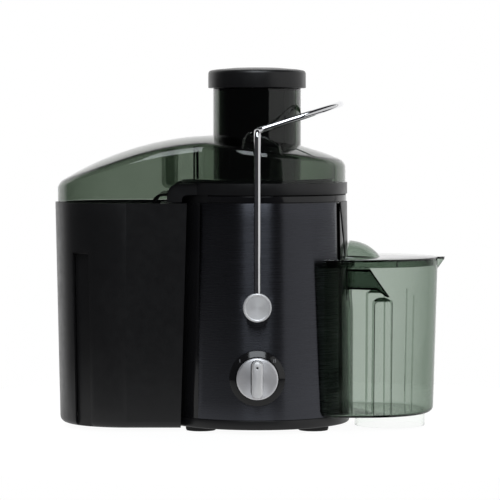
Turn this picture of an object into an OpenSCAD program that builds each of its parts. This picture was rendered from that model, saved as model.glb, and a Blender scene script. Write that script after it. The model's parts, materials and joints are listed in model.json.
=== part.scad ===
// Centrifugal juicer: motor base, juice bowl with spinning basket, lid with
// feed tube, locking bail, pulp container on the left and juice jug on the right.
// Origin: motor axis on the worktop. +X towards the jug, -Y towards the user, +Z up.

/* [Motor base] */
// Radius of the housing at its foot
foot_r = 87; // [86:0.5:88]
// Radius of the housing at its top edge
neck_r = 84; // [83.5:0.5:84.5]
// Height of the housing's top edge above the worktop
neck_z = 210.6; // [210:0.1:211]
// Thickness of the moulded housing wall
shell_t = 2.5; // [2:0.1:3]
// Angle from the front to the brushed panel's left edge
panel_left = 38.5; // [30:0.5:42]
// Angle from the front to the brushed panel's right edge
panel_right = 60; // [50:0.5:62]

/* [Bowl and basket] */
// Height of the bowl flange that carries the lid
seat_z = 228.4; // [227:0.2:229]
// Outer radius of the bowl flange
flange_r = 84.6; // [84:0.1:85]
// Inner radius of the bowl wall
bowl_r = 74; // [73:0.5:75]
// Radius of the filter basket at its rim
basket_r = 69; // [66:0.5:70]
// Radius of the grater disc
grater_r = 42; // [38:0.5:43]

/* [Lid and feed tube] */
// Radius of the round part of the lid
lid_r = 83; // [82:0.5:83.5]
// Radius of the sphere that the lid's top follows
dome_r = 285; // [270:1:300]
// Outer radius of the feed tube
tube_r = 41.15; // [40:0.05:42]
// Bore radius of the feed tube's 76 mm mouth
tube_bore_r = 38; // [37:0.05:38.5]
// Height of the feed tube's mouth
tube_top_z = 316; // [310:0.5:320]

/* [Jug and pulp container] */
// Radius of the round ends at the vessels' feet
vessel_foot_r = 65.5; // [64:0.1:66]
// Radius of the round ends at the vessels' rims
vessel_rim_r = 69.5; // [68.5:0.1:70]
// Radius of the hollow sides that wrap the housing
wrap_r = 88.5; // [88.3:0.1:90]
// Rim height of the pulp container
container_rim_z = 210; // [208:0.2:210]
// Rim height of the juice jug
jug_rim_z = 156.5; // [154:0.5:158]

/* [Bail and knob] */
// Diameter of the bail's wire
wire_d = 6; // [5:0.5:6]
// Height of the bail's pivots
pivot_z = 116.6; // [114:0.2:118]
// Height of the wire over the lid's catches
shoulder_z = 276; // [275.5:0.1:277]
// Radius of the control knob
knob_r = 18.9; // [17:0.1:20]
// Height of the knob's axis
knob_z = 51.7; // [50:0.1:54]

/* [Hidden] */
$fn = 96;
eps = 0.02;

base_z0 = 4;
base_z1 = 13;
collar_r = flange_r - 1.4;
collar_z1 = 217.8;
bowl_t = 2.5;
bowl_floor_z = 130;
boss_r = 21.5;
boss_z = 160;
deck_z = 121;
deck_t = 3.5;
pillar_angles = [45, 135, 225, 315];
pillar_r = 78.5;
pillar_d = 13;
panel_t = 0.8;
foot_at = [52, 45];

// Motor stack, bottom to top
shaft_r = 4;
shaft_clear = 0.05;
shaft_z = [16, 150];
bearing_h = 8;
lower_bearing_z = 22;
upper_bearing_z = 108;
commutator_z = [33, 47];
core_z = [56, 92];
core_r = 24.6;
stator_size = [88, 70];
slot_x = [27.5, 36.5];
mount_at = [39.5, 30.5];
bolt_r = 2.1;
brush_z = 40;

// Basket stack
hub_z = 184;
disc_z = 186;
rim_z = 230.5;
basket_t = 0.6;
stud_r = 2.6;
hub_r = grater_r + 2;
disc_seat_r = grater_r - 1;
coupling_r = 12.4;

// Lid
lid_t = 2.5;
dome_c = [-33, 0, seat_z - 240.9];
lobe_cx = -119.7;
lobe_r = 67.3;
lid_edge_z = container_rim_z + 0.5;
step_x = -71.5;
step_r = 11;
chute_half = 58;
tube_end_z = 194;

// Vessels
container_cx = lobe_cx;
container_z0 = 3.5;
container_t = 2.2;
jug_cx = 100.3;
jug_z0 = 12.5;
jug_t = 2;
jug_horn_x = 61.5;
jug_lid_t = 2;
rest_gap = 0.1;
hood_c = [84.5, 0, jug_rim_z - 19.5];
hood_r = 36.5;
hood_t = 2;
hood_clip_r = 87.2;
plate_wrap_r = wrap_r + 2;
beak_x = 165.5;
beak_r = 11;
beak_h = 11;
notch_half = 19.5;
notch_z = 128;
recess_x = 115.5;
recess_z = 123;
recess_w = 15;
recess_depth = 4.5;
rib_top_z = 125;
grip_angle = 50.9;
grip_w = 19;

// Pulp chute
chute_z = 219;
chute_lip = [-86, 208];
chute_lip_r = 11;
chute_edge_x = -64;
chute_edge_r = 5;

// Spout
spout_half = 17;
spout_t = 2;
spout_z = [121, 146.5];
spout_tip_x = 124;
skirt_gap = 0.7;

// Bail
wire_r = wire_d / 2;
arm_y = 95;
arm_bend = 7;
loop_r = 50;
loop_tilt = 18;
loop_reach = 32.5;
bush_r = 8;
bush_y = [75, 87.8];
cap_r = 13.15;
cap_y = [88.6, 99.6];
cap_edge = [2.2, 1.6];

// Knob
bezel_r = 25.35;
bezel_y = -90.2;
spindle_r = 3;
knob_y = [-106, -90.6];
knob_face_y = 97.7;

// Pusher
pusher_r = 35.5;
pusher_z = [199, tube_top_z + 16];
pusher_cap_r = 45.75;
pusher_cap_z = [tube_top_z + 0.3, tube_top_z + 19.6];
pusher_cap_t = 3;

// ---------- shared geometry ----------

// Points on an arc of radius r about (cx, cy), from angle a0 to a1
function arc(cx, cy, r, a0, a1, n = 8) = [
    for (i = [0:n])
        let (a = a0 + (a1 - a0) * i / n)
        [cx + r * cos(a), cy + r * sin(a)]
];

// Housing radius at height z: the side is a gentle cone
function housing_r(z) =
    foot_r + (neck_r - foot_r) * (z - base_z1) / (neck_z - base_z1);

// Radius of a vessel's round end at height z, for a vessel from z0 to z1
function vessel_r(z, z0, z1) =
    vessel_foot_r + (vessel_rim_r - vessel_foot_r) * (z - z0) / (z1 - z0);

// Half section (radius, height) of a drafted vessel with a rounded foot,
// taken in by inset, from height a to height b
function vessel_section(z0, z1, a, b, inset, fillet) =
    let (ra = vessel_r(a, z0, z1) - inset)
    let (rb = vessel_r(b, z0, z1) - inset)
    concat(
        [[0, a]],
        fillet > 0 ? arc(ra - fillet, a + fillet, fillet, -90, 0, 6) : [[ra, a]],
        [[rb, b], [0, b]]
    );

// The same section on both sides of the middle plane
function both_sides(section) =
    let (half = [for (p = section) if (p[0] > 0) p])
    concat(half, [for (i = [len(half) - 1:-1:0]) [-half[i][0], half[i][1]]]);

module disc(r, z0, z1) {
    translate([0, 0, z0]) cylinder(r = r, h = z1 - z0);
}

module ring(r_out, r_in, z0, z1) {
    difference() {
        disc(r_out, z0, z1);
        disc(r_in, z0 - 1, z1 + 1);
    }
}

// Round bar along Y
module bar_y(r, y0, y1) {
    translate([0, y0, 0]) rotate([-90, 0, 0]) cylinder(r = r, h = y1 - y0);
}

// Outline in X and Z, extruded along Y
module slab_y(y0, y1) {
    translate([0, y1, 0]) rotate([90, 0, 0]) linear_extrude(y1 - y0) children();
}

// Outline in Y and Z, extruded along X
module slab_x(x0, x1) {
    translate([x0, 0, 0]) rotate([90, 0, 90]) linear_extrude(x1 - x0) children();
}

module box(x, y, z) {
    translate([x[0], y[0], z[0]]) cube([x[1] - x[0], y[1] - y[0], z[1] - z[0]]);
}

// Both the front and the rear copy of something built at the front
module front_and_rear() {
    children();
    mirror([0, 1, 0]) children();
}

// A round end about (cx, 0) with straight sides that run to x = reach
module d_solid(cx, reach, section) {
    translate([cx, 0, 0]) rotate_extrude() polygon(section);
    slab_x(min(cx, reach), max(cx, reach)) polygon(both_sides(section));
}

// Cone that follows the housing's side, grown by g
module housing_cone(z0, z1, g) {
    rotate_extrude() polygon([
        [0, z0], [housing_r(z0) + g, z0], [housing_r(z1) + g, z1], [0, z1]
    ]);
}

// Band of the housing's side between two angles from the front
module housing_band(left, right, z0, z1, g0, g1) {
    rotate([0, 0, -90 - left]) rotate_extrude(angle = left + right) polygon([
        [housing_r(z0) + g0, z0], [housing_r(z0) + g1, z0],
        [housing_r(z1) + g1, z1], [housing_r(z1) + g0, z1]
    ]);
}

// ---------- motor base ----------

module at_pillars() {
    for (a = pillar_angles)
        rotate([0, 0, a]) translate([pillar_r, 0, 0]) children();
}

module at_feet() {
    for (sx = [-1, 1], sy = [-1, 1])
        translate([sx * foot_at[0], sy * foot_at[1], 0]) children();
}

module base_plate() {
    color([0.05, 0.05, 0.055]) difference() {
        rotate_extrude() polygon(concat(
            [[0, base_z0]],
            arc(foot_r - 2.1, base_z0 + 2, 2, -90, 0, 4),
            [[foot_r - 0.1, base_z1], [foot_r - 2.6, base_z1],
             [foot_r - 2.6, base_z0 + 3], [0, base_z0 + 3]]
        ));
        at_feet() disc(4, 0, 20);
        at_pillars() disc(2.2, 0, 20);
        at_pillars() disc(4.2, 0, base_z0 + 1.5);
        for (i = [-4:4])
            translate([i * 7, 0, 0]) box([-1.5, 1.5], [-22, 22], [0, 20]);
    }
}

module rubber_feet() {
    color([0.03, 0.03, 0.03]) at_feet() {
        disc(13.5, 0, 1.2);
        disc(14, 1.2, base_z0);
        disc(4, base_z0, base_z0 + 5);
    }
}

module base_screws() {
    color([0.6, 0.6, 0.62]) at_pillars() {
        disc(4, base_z0, base_z0 + 1.5);
        disc(2.2, base_z0 + 1.5, base_z0 + 3);
        disc(1.9, base_z0 + 3, 30);
    }
}

// Opening in the housing's right side that the bowl's spout drops into
module spout_gate(g) {
    slab_x(60, 110) polygon([
        [-19.5 - g, 118.5 - g], [19.5 + g, 118.5 - g], [19.5 + g, 150],
        [34.5 + g, neck_z + 1], [-34.5 - g, neck_z + 1], [-19.5 - g, 150]
    ]);
}

module housing_shell() {
    color([0.04, 0.04, 0.045]) difference() {
        union() {
            rotate_extrude() polygon([
                [housing_r(base_z1) - shell_t, base_z1],
                [housing_r(base_z1), base_z1], [neck_r, neck_z],
                [neck_r - shell_t, neck_z]
            ]);
            intersection() {
                at_pillars() disc(pillar_d / 2, base_z0 + 3, deck_z);
                union() {
                    housing_cone(base_z1, deck_z, -1);
                    disc(foot_r - 2.6, base_z0 + 3, base_z1);
                }
            }
        }
        at_pillars() disc(1.9, 0, 30);
        at_pillars() disc(1.9, deck_z - 20, deck_z + 1);
        housing_band(panel_left, panel_right, base_z1 - 1, neck_z + 1, -panel_t, 5);
        spout_gate(skirt_gap);
        translate([0, 0, pivot_z]) front_and_rear() bar_y(bush_r, -120, -60);
        translate([0, 0, knob_z]) bar_y(6, -120, -60);
        translate([0, 0, 24]) bar_y(6.5, 60, 120);
    }
}

module front_panel() {
    color([0.33, 0.33, 0.35]) difference() {
        housing_band(panel_left - 0.15, panel_right - 0.15,
            base_z1 + 0.2, neck_z - 0.2, -panel_t, 0.3);
        translate([0, 0, pivot_z]) bar_y(bush_r, -120, -60);
        translate([0, 0, knob_z]) bar_y(6, -120, -60);
    }
}

module motor_deck() {
    color([0.12, 0.12, 0.13]) difference() {
        union() {
            intersection() {
                disc(foot_r, deck_z, deck_z + deck_t);
                housing_cone(deck_z, deck_z + deck_t, -shell_t - 0.1);
            }
            disc(16, deck_z, bowl_floor_z - 0.4);
        }
        disc(shaft_r + 2.5, deck_z - 1, deck_z + 20);
        disc(12, deck_z + deck_t, deck_z + 20);
        at_pillars() disc(2.2, deck_z - 1, deck_z + 20);
        spout_gate(skirt_gap);
        front_and_rear() box([-14, 14], [-100, -72], [deck_z - 1, deck_z + 20]);
        box([-8, 8], [66, 80], [deck_z - 1, deck_z + 20]);
    }
}

module deck_screws() {
    color([0.6, 0.6, 0.62]) at_pillars() {
        disc(1.9, deck_z - 14, deck_z);
        disc(2.2, deck_z, deck_z + deck_t);
        disc(3.8, deck_z + deck_t, deck_z + deck_t + 2.2);
    }
}

module shaft_seal() {
    color([0.1, 0.1, 0.1]) rotate_extrude() polygon([
        [shaft_r + shaft_clear, deck_z + deck_t], [12, deck_z + deck_t],
        [12, deck_z + deck_t + 4], [9.5, deck_z + deck_t + 4],
        [9.5, deck_z + deck_t + 1.5], [shaft_r + 1.5, deck_z + deck_t + 1.5],
        [shaft_r + shaft_clear, deck_z + deck_t + 3]
    ]);
}

// ---------- motor ----------

module at_mounts() {
    for (sx = [-1, 1], sy = [-1, 1])
        translate([sx * mount_at[0], sy * mount_at[1], 0]) children();
}

module motor_mounts() {
    color([0.08, 0.08, 0.08]) at_mounts() {
        disc(6, upper_bearing_z + bearing_h, deck_z);
    }
}

// Bridge that carries a shaft bearing between two pairs of stator bolts
module bracket(z0, z1, seat_z0) {
    difference() {
        union() {
            box([-44, 44], [-8, 8], [z0, z1]);
            for (sx = [-1, 1])
                box([sx * 37 - 7, sx * 37 + 7], [-35, 35], [z0, z1]);
            disc(13, seat_z0, seat_z0 + bearing_h);
        }
        disc(9, seat_z0 - 1, seat_z0 + bearing_h + 1);
        at_mounts() disc(bolt_r, z0 - 1, z1 + 1);
    }
}

module upper_bracket() {
    color([0.7, 0.71, 0.72])
        bracket(upper_bearing_z + 3, upper_bearing_z + bearing_h, upper_bearing_z);
}

module lower_bracket() {
    color([0.7, 0.71, 0.72])
        bracket(lower_bearing_z, lower_bearing_z + 5, lower_bearing_z);
}

module bearing(z0) {
    rotate_extrude() difference() {
        translate([shaft_r + shaft_clear, z0]) square([9 - shaft_r - shaft_clear, bearing_h]);
        translate([9, z0]) circle(r = 1, $fn = 24);
        translate([9, z0 + bearing_h]) circle(r = 1, $fn = 24);
    }
}

module upper_bearing() {
    color([0.72, 0.52, 0.3]) bearing(upper_bearing_z);
}

module lower_bearing() {
    color([0.72, 0.52, 0.3]) bearing(lower_bearing_z);
}

module stator_core() {
    color([0.35, 0.36, 0.38]) difference() {
        translate([0, 0, core_z[0]]) linear_extrude(core_z[1] - core_z[0]) difference() {
            square(stator_size, center = true);
            circle(r = core_r + 0.8);
            square([2 * slot_x[1], 12], center = true);
            for (sx = [-1, 1]) translate([sx * (slot_x[0] + slot_x[1]) / 2, 0])
                square([slot_x[1] - slot_x[0], 54], center = true);
            for (sx = [-1, 1], sy = [-1, 1])
                translate([sx * stator_size[0] / 2, sy * stator_size[1] / 2])
                    rotate([0, 0, 45]) square(6, center = true);
        }
        at_mounts() disc(bolt_r, 0, 200);
    }
}

// Two windings that loop through the stator's slots, round its front and rear poles
module field_coils() {
    x = slot_x[1] - 0.5;
    color([0.72, 0.38, 0.2]) front_and_rear() difference() {
        box([-x, x], [-26, -10], [core_z[0] - 6, core_z[1] + 6]);
        box([-slot_x[0] - 0.5, slot_x[0] + 0.5], [-40, 0], core_z);
        disc(core_r + 1, 0, 200);
    }
}

module brush_holders() {
    color([0.62, 0.45, 0.25]) for (sx = [-1, 1]) difference() {
        box([min(sx * 14, sx * 34), max(sx * 14, sx * 34)], [-5, 5],
            [lower_bearing_z + 5, brush_z + 6]);
        box([min(sx * 10, sx * 40), max(sx * 10, sx * 40)], [-3.05, 3.05],
            [brush_z - 4.05, brush_z + 4.05]);
    }
}

module carbon_brushes() {
    color([0.1, 0.1, 0.1]) for (sx = [-1, 1]) difference() {
        box([min(0, sx * 30), max(0, sx * 30)], [-3, 3], [brush_z - 4, brush_z + 4]);
        disc(12.1, 0, 100);
    }
}

module motor_bolts() {
    color([0.75, 0.75, 0.76]) at_mounts() {
        disc(bolt_r, lower_bearing_z, upper_bearing_z + bearing_h);
        disc(4, lower_bearing_z - 3, lower_bearing_z);
    }
}

module motor_shaft() {
    color([0.78, 0.78, 0.8]) disc(shaft_r, shaft_z[0], shaft_z[1]);
}

module armature_core() {
    color([0.3, 0.31, 0.33]) difference() {
        disc(core_r, core_z[0], core_z[1]);
        disc(shaft_r, core_z[0] - 1, core_z[1] + 1);
        for (i = [0:11]) rotate([0, 0, i * 30]) {
            translate([core_r - 7, 0, core_z[0] - 1]) cylinder(r = 3.2, h = 60, $fn = 32);
            box([core_r - 5, core_r + 2], [-1, 1], [core_z[0] - 1, core_z[1] + 1]);
        }
    }
}

module armature_windings() {
    color([0.75, 0.4, 0.18]) {
        for (z = [core_z[0] - 6, core_z[1]])
            rotate_extrude() polygon([
                [shaft_r, z], [20, z], [22, z + 2], [22, z + 4], [20, z + 6], [shaft_r, z + 6]
            ]);
        for (i = [0:11]) rotate([0, 0, i * 30])
            translate([core_r - 7, 0, core_z[0] - 1])
                cylinder(r = 3, h = core_z[1] - core_z[0] + 2, $fn = 32);
    }
}

module commutator() {
    color([0.8, 0.48, 0.26]) difference() {
        disc(12, commutator_z[0], commutator_z[1]);
        disc(shaft_r, 0, 100);
        for (i = [0:11]) rotate([0, 0, i * 30 + 15])
            box([11, 14], [-0.35, 0.35], [commutator_z[0] - 1, commutator_z[1] + 1]);
    }
}

module cooling_fan() {
    color([0.15, 0.15, 0.16]) difference() {
        union() {
            disc(10, core_z[1] + 6.4, core_z[1] + 14.5);
            disc(34, core_z[1] + 6.4, core_z[1] + 8);
            for (i = [0:11]) rotate([0, 0, i * 30])
                box([9, 34], [-0.7, 0.7], [core_z[1] + 7, core_z[1] + 14]);
        }
        disc(shaft_r, 0, 200);
    }
}

// ---------- electrics ----------

module terminal_block() {
    color([0.9, 0.9, 0.87]) difference() {
        box([-16, 16], [50, 62], [base_z0 + 3, base_z0 + 15]);
        for (i = [-1:1]) translate([i * 10, 56, 0]) {
            disc(2.5, base_z0 + 8, base_z0 + 20);
            translate([0, 0, base_z0 + 9]) bar_y(1.6, -10, 10);
        }
    }
}

module suppressor() {
    color([0.85, 0.7, 0.2]) box([24, 42], [46, 56], [base_z0 + 3, base_z0 + 18]);
}

module cord_gland() {
    color([0.05, 0.05, 0.05]) translate([0, 0, 24]) difference() {
        union() {
            bar_y(6.5, 80, 90);
            bar_y(9, 80, 83.4);
            bar_y(8.5, 86.9, 91);
        }
        bar_y(3.5, 70, 100);
    }
}

module rotary_switch() {
    color([0.14, 0.14, 0.15]) translate([0, 0, knob_z]) difference() {
        union() {
            box([-14, 14], [-79, -60], [-14, 14]);
            bar_y(6, -85, -79);
            for (x = [-9, 0, 9]) box([x - 2.4, x + 2.4], [-60, -53], [-0.4, 0.4]);
        }
        bar_y(spindle_r + shaft_clear, -100, -61.9);
    }
}

module interlock_switch() {
    color([0.12, 0.12, 0.12]) translate([0, 0, pivot_z]) {
        box([-10, 10], [66.5, 73], [-26, -15]);
        box([-2, 2], [68, 71.5], [-15, -12.9]);
        box([10, 12.5], [66.5, 71.5], [-26, deck_z - pivot_z]);
        for (x = [-8, 0, 8]) box([x - 1, x + 1], [69, 70], [-32, -26]);
    }
}

// ---------- knob ----------

module knob_bezel() {
    color([0.5, 0.5, 0.5]) difference() {
        translate([0, 0, knob_z]) difference() {
            bar_y(bezel_r, bezel_y, -60);
            bar_y(knob_r + 0.5, bezel_y - 1, bezel_y + 1.6);
            bar_y(6, -120, -50);
        }
        housing_cone(base_z1, neck_z, 0.3 + eps);
    }
}

module control_knob() {
    color([0.75, 0.75, 0.77]) translate([0, 0, knob_z]) difference() {
        union() {
            rotate([90, 0, 0]) rotate_extrude() polygon([
                [0, -knob_y[1]], [knob_r, -knob_y[1]], [knob_r, knob_face_y - 1.2],
                [knob_r - 1.2, knob_face_y], [0, knob_face_y]
            ]);
            intersection() {
                box([-4.6, 4.6], [knob_y[0], 0.5 - knob_face_y], [-30, 30]);
                bar_y(knob_r - 1.4, knob_y[0] - 1, -90);
            }
        }
        bar_y(spindle_r, -98, -80);
    }
}

module knob_spindle() {
    color([0.7, 0.7, 0.72]) translate([0, 0, knob_z]) bar_y(spindle_r, -98, -62);
}

// ---------- bowl ----------

// Hollow channel that pours the juice, wall taken in by g
module spout_outline(g) {
    polygon([
        [70, spout_z[1] - g], [spout_tip_x - 18 - g * 0.3, spout_z[1] - g],
        [spout_tip_x - g * 1.4, spout_z[0] + g], [spout_tip_x - 3, spout_z[0] + g],
        [spout_tip_x - 12, spout_z[0] + 6.5 + g], [70, spout_z[0] + 8 + g]
    ]);
}

// Side edge of the pulp chute: level flange that turns down to the container
module chute_edge() {
    slab_y(-chute_half - 6, -chute_half) polygon(concat(
        [[-46, seat_z]],
        arc(step_x, seat_z - step_r, step_r, 90, 180, 8),
        [[step_x - step_r, lid_edge_z + 0.5], [chute_edge_x - chute_edge_r, lid_edge_z + 0.5]],
        arc(chute_edge_x, collar_z1 - chute_edge_r, chute_edge_r, 180, 90, 5),
        [[-46, collar_z1]]
    ));
}

module juice_bowl() {
    color([0.05, 0.05, 0.055]) {
        difference() {
            union() {
                rotate_extrude() polygon([
                    [boss_r, bowl_floor_z], [bowl_r + bowl_t, bowl_floor_z],
                    [bowl_r + bowl_t, neck_z], [collar_r, neck_z],
                    [collar_r, collar_z1], [flange_r, collar_z1],
                    [flange_r, seat_z], [flange_r - 2.5, seat_z],
                    [flange_r - 2.5, collar_z1 + 2.5],
                    [bowl_r + bowl_t, collar_z1 + 2.5],
                    [bowl_r + bowl_t, seat_z], [bowl_r, seat_z],
                    [bowl_r, bowl_floor_z + bowl_t], [boss_r + bowl_t, bowl_floor_z + bowl_t],
                    [boss_r + bowl_t, boss_z], [boss_r, boss_z]
                ]);
                // skirt that closes the housing's opening
                intersection() {
                    difference() {
                        housing_cone(118, neck_z, 0.5);
                        housing_cone(100, neck_z + 10, -shell_t);
                    }
                    spout_gate(0);
                }
                front_and_rear() difference() {
                    chute_edge();
                    disc(flange_r - 1, 200, 240);
                }
                difference() {
                    slab_y(-chute_half, chute_half) polygon(concat(
                        [[-60, chute_z], [chute_lip[0], chute_z]],
                        arc(chute_lip[0], chute_lip[1], chute_lip_r, 90, 164, 8),
                        arc(chute_lip[0], chute_lip[1], chute_lip_r - 2.4, 160, 90, 8),
                        [[-60, chute_z - 2.4]]
                    ));
                    disc(bowl_r + 1, 200, 240);
                }
            }
            slab_y(-spout_half + spout_t, spout_half - spout_t) spout_outline(spout_t);
            difference() {
                slab_y(-spout_half - 0.2, spout_half + 0.2) spout_outline(-0.2);
                disc(bowl_r + bowl_t, 100, 160);
            }
            box([-100, -40], [-chute_half, chute_half], [chute_z, 240]);
        }
    }
}

// Channel that snaps over the bowl's outlet and pours into the jug
module juice_spout() {
    color([0.05, 0.05, 0.055]) difference() {
        slab_y(-spout_half, spout_half) spout_outline(0);
        disc(bowl_r + bowl_t, 100, 160);
        slab_y(-spout_half + spout_t, spout_half - spout_t) spout_outline(spout_t);
    }
}

// ---------- lid ----------

module lid_plan(inset) {
    circle(r = lid_r - inset);
    translate([lobe_cx, 0]) circle(r = lobe_r - inset);
    translate([lobe_cx, -lobe_r + inset]) square([-lobe_cx, 2 * (lobe_r - inset)]);
}

module lid_envelope(inset, z0, z1) {
    intersection() {
        translate([0, 0, z0]) linear_extrude(z1 - z0) lid_plan(inset);
        translate(dome_c) sphere(r = dome_r - inset, $fn = 192);
    }
}

// What lies below the lid's edge: level over the bowl, lower over the container
module below_lid_edge(g) {
    slab_y(-120, 120) polygon(concat(
        [[120, 150], [120, seat_z + g]],
        arc(step_x, seat_z - step_r, step_r + g, 90, 180, 8),
        [[step_x - step_r - g, lid_edge_z], [-220, lid_edge_z], [-220, 150]]
    ));
}

// Catch that the bail's wire snaps over
module lid_catch() {
    difference() {
        slab_y(-78, -46) polygon(concat(
            [[-15, 250], [-13, 269.5]],
            arc(-8, 270.5, 4.6, 170, 90, 4),
            [[-3.4, 275], [-3.4, 272.3], [4, 271.9], [18, 267.2], [22.5, 259], [22.5, 250]]
        ));
        translate([0, 0, shoulder_z]) bar_y(wire_r + 0.4, -90, -40);
        translate(dome_c) sphere(r = dome_r - 1, $fn = 192);
    }
}

// Hollow underside of a catch
module catch_pocket() {
    slab_y(-75.5, -48.5) polygon([
        [-12.5, 240], [-10.8, 267], [-8, 270], [2, 269.3], [16, 264.5], [19.5, 258], [19.5, 240]
    ]);
}

// Wall inside the lid that guards the basket, open towards the container
module guard_ring() {
    intersection() {
        difference() {
            ring(73.5, 71.5, rim_z + 1, 300);
            box([-90, -50], [-44, 44], [200, 300]);
        }
        lid_envelope(1, 200, 300);
    }
}

// Two rounded tongues that steer the pulp down beside the chute
module deflectors() {
    intersection() {
        front_and_rear() slab_y(-58, -56) union() {
            translate([-87.5, 230]) square([12, 60]);
            translate([-81.5, 230]) circle(r = 6);
        }
        lid_envelope(1, 200, 300);
    }
}

module lid() {
    color([0.45, 0.55, 0.48, 0.5]) difference() {
        union() {
            difference() {
                union() {
                    lid_envelope(0, 200, 300);
                    front_and_rear() lid_catch();
                }
                lid_envelope(lid_t, 190, 310);
                front_and_rear() catch_pocket();
                below_lid_edge(0);
            }
            guard_ring();
            deflectors();
            disc(tube_r, tube_end_z, tube_top_z);
        }
        disc(tube_bore_r, tube_end_z - 1, tube_top_z + 1);
        rotate_extrude() polygon([
            [tube_bore_r - 1, tube_top_z - 1.5], [tube_bore_r + 1.7, tube_top_z + 0.1],
            [tube_bore_r - 1, tube_top_z + 0.1]
        ]);
    }
}

// ---------- basket and drive ----------

module drive_coupling() {
    color([0.16, 0.16, 0.17]) difference() {
        union() {
            disc(coupling_r, bowl_floor_z + 1, shaft_z[1] + 2);
            for (i = [0:11]) rotate([0, 0, i * 30])
                box([coupling_r - 1.4, coupling_r + 1.4], [-1.4, 1.4],
                    [bowl_floor_z + 1, shaft_z[1] - 1]);
        }
        disc(shaft_r, 120, shaft_z[1]);
    }
}

module basket_hub() {
    color([0.75, 0.76, 0.76]) difference() {
        rotate_extrude() polygon([
            [0, shaft_z[1] + 2.3], [14, shaft_z[1] + 2.3], [14, 136], [17.6, 136],
            [17.6, hub_z - 1], [hub_r - 4, hub_z - 1], [26.5, 166], [26.5, 148],
            [29, 148], [29, 165], [hub_r, hub_z - 2], [hub_r, hub_z],
            [disc_seat_r, disc_z], [0, disc_z]
        ]);
        ring(14, 6, 157, hub_z - 1);
        disc(stud_r, 150, 200);
    }
}

module filter_basket() {
    color([0.72, 0.73, 0.74]) rotate_extrude() polygon([
        [disc_seat_r, disc_z], [hub_r, hub_z], [hub_r + 0.2, hub_z],
        [basket_r - 1, rim_z - 4], [basket_r - 1 - basket_t, rim_z - 4],
        [hub_r - 0.2, disc_z + basket_t], [disc_seat_r, disc_z + basket_t]
    ]);
}

module basket_rim() {
    color([0.78, 0.79, 0.8]) rotate_extrude() polygon(concat(
        [[basket_r - 1, rim_z - 6], [basket_r + 0.6, rim_z - 6],
         [basket_r + 0.6, rim_z - 3], [basket_r + 1.8, rim_z - 2]],
        arc(basket_r + 0.6, rim_z - 1.2, 1.2, 0, 90, 4),
        [[basket_r - 1 - basket_t, rim_z], [basket_r - 1 - basket_t, rim_z - 4],
         [basket_r - 1, rim_z - 4]]
    ));
}

module grater_disc() {
    color([0.8, 0.8, 0.82]) difference() {
        union() {
            disc(grater_r - 1.2, disc_z, disc_z + 1);
            for (row = [0:3], i = [0:17])
                rotate([0, 0, i * 20 + row * 6]) translate([15 + row * 7, 0, disc_z + 0.8])
                    rotate([0, 0, 25]) rotate([0, -12, 0])
                        box([-1.1, 1.1], [-0.4, 0.4], [0, 1.9]);
        }
        disc(stud_r, 150, 200);
    }
}

module disc_nut() {
    color([0.75, 0.75, 0.77]) {
        translate([0, 0, disc_z + 1]) cylinder(r = 7, h = 2.4, $fn = 6);
        disc(stud_r, 156, disc_z + 1);
    }
}

// ---------- bail ----------

// Quarter bend that joins an upright arm at -Y to a level run above it
module wire_bend() {
    rotate([0, -90, 0]) rotate([0, 0, -90]) rotate_extrude(angle = 90)
        translate([arm_bend, 0]) circle(r = wire_r, $fn = 32);
}

// Pivot end of the wire, its lower bend and the upright arm
module bail_arm() {
    translate([0, 0, pivot_z]) bar_y(wire_r, -arm_y + arm_bend, -bush_y[0] + 3);
    translate([0, -arm_y + arm_bend, pivot_z + arm_bend]) mirror([0, 0, 1]) wire_bend();
    translate([0, -arm_y, pivot_z + arm_bend])
        cylinder(r = wire_r, h = shoulder_z - pivot_z - 2 * arm_bend);
}

// Front half of the bail: arm, shoulder and half of the loop
module half_bail() {
    bail_arm();
    translate([0, -arm_y + arm_bend, shoulder_z - arm_bend]) wire_bend();
    translate([0, 0, shoulder_z]) {
        bar_y(wire_r + eps, -arm_y + arm_bend, -loop_r - arm_bend);
        rotate([0, -loop_tilt, 0]) {
            translate([arm_bend, -loop_r - arm_bend, 0]) rotate([0, 0, 90])
                rotate_extrude(angle = 90)
                    translate([arm_bend, 0]) circle(r = wire_r, $fn = 32);
            translate([arm_bend, -loop_r, 0]) rotate([0, 90, 0])
                cylinder(r = wire_r, h = loop_reach - arm_bend);
        }
    }
}

module bail_wire() {
    color([0.85, 0.85, 0.87]) {
        front_and_rear() half_bail();
        translate([0, 0, shoulder_z]) rotate([0, -loop_tilt, 0])
            translate([loop_reach, 0, 0]) rotate([0, 0, -90]) rotate_extrude(angle = 180)
                translate([loop_r, 0]) circle(r = wire_r, $fn = 32);
    }
}

module bail_bushes() {
    color([0.08, 0.08, 0.09]) translate([0, 0, pivot_z]) front_and_rear() difference() {
        union() {
            bar_y(bush_r, -bush_y[1], -bush_y[0]);
            bar_y(bush_r + 2, -82, -bush_y[0] - 4);
        }
        bar_y(wire_r + shaft_clear, -120, -50);
    }
}

module pivot_cap() {
    difference() {
        translate([0, 0, pivot_z]) rotate([90, 0, 0]) rotate_extrude() polygon(concat(
            [[0, cap_y[0]], [cap_r, cap_y[0]], [cap_r, cap_y[1] - cap_edge[0]]],
            arc(cap_r - cap_edge[1], cap_y[1] - cap_edge[0], cap_edge[1], 0, 90, 5),
            [[0, cap_y[1]]]
        ));
        bail_arm();
    }
}

module front_pivot_cap() {
    color([0.78, 0.78, 0.8]) pivot_cap();
}

module rear_pivot_cap() {
    color([0.78, 0.78, 0.8]) mirror([0, 1, 0]) pivot_cap();
}

module bail_clips() {
    color([0.6, 0.6, 0.62]) translate([0, 0, pivot_z]) front_and_rear() difference() {
        bar_y(6, -bush_y[0] + 0.4, -bush_y[0] + 1.6);
        bar_y(wire_r, -100, -50);
    }
}

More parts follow.
